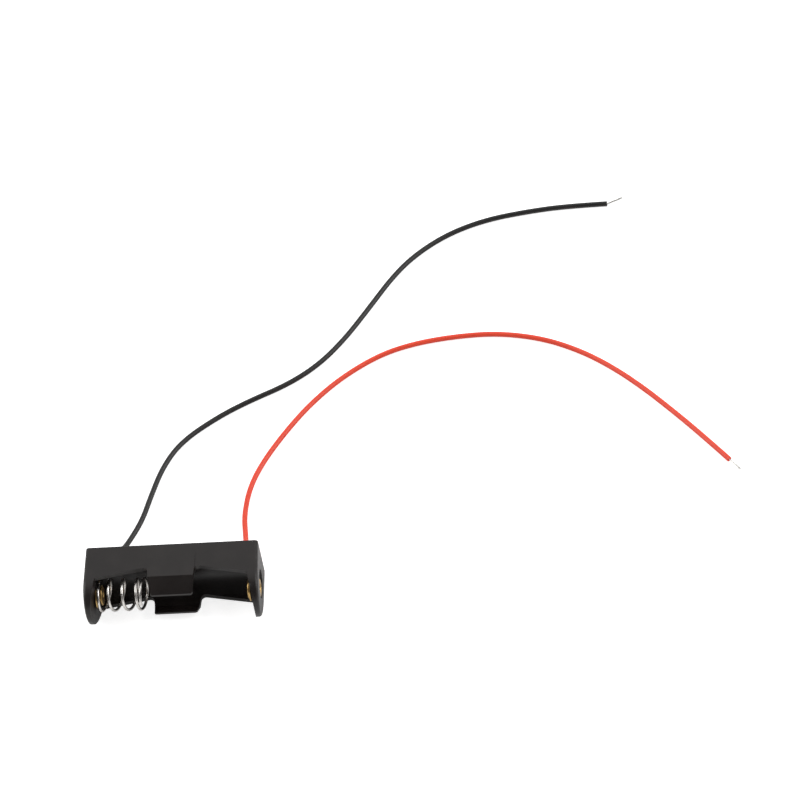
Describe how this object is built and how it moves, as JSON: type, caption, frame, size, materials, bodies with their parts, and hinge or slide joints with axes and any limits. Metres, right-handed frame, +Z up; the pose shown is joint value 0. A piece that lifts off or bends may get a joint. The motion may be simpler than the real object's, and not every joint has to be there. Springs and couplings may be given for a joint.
{
  "type": "miniature battery holder",
  "caption": "Moulded open-front holder for one small cylindrical cell, with a coil-spring contact, a riveted fixed contact and two flying leads.",
  "frame": {"origin": "centre of the housing's footprint, on the surface that its long side lies on", "axes": "+X along the cell, from the spring contact to the fixed contact; +Y from the open front to the back face; +Z up"},
  "size_m": [0.1461, 0.1149, 0.0131],
  "materials": {
    "housing": "satin black moulded",
    "brass": "bright rolled",
    "spring": "bright nickel-plated",
    "tinned_copper": "tinned strands",
    "solder": "smooth",
    "black_insulation": "satin extruded",
    "red_insulation": "satin extruded"
  },
  "bodies": {
    "holder": {"housing": "housing", "positive_rivet": "brass", "negative_rivet": "brass", "positive_tag": "brass", "negative_tag": "brass", "positive_conductor": "tinned_copper", "negative_conductor": "tinned_copper", "positive_solder": "solder", "negative_solder": "solder", "black_lead": "black_insulation", "red_lead": "red_insulation", "black_bare_end": "tinned_copper", "red_bare_end": "tinned_copper"},
    "spring": {"spring": "spring"}
  },
  "joints": [
    {"name": "spring_travel", "type": "slide", "parent": "holder", "child": "spring", "axis": [-1, 0, 0], "range_m": [0, 0.006], "stiffness_N_per_m": 1900, "deforming": ["spring"]}
  ]
}
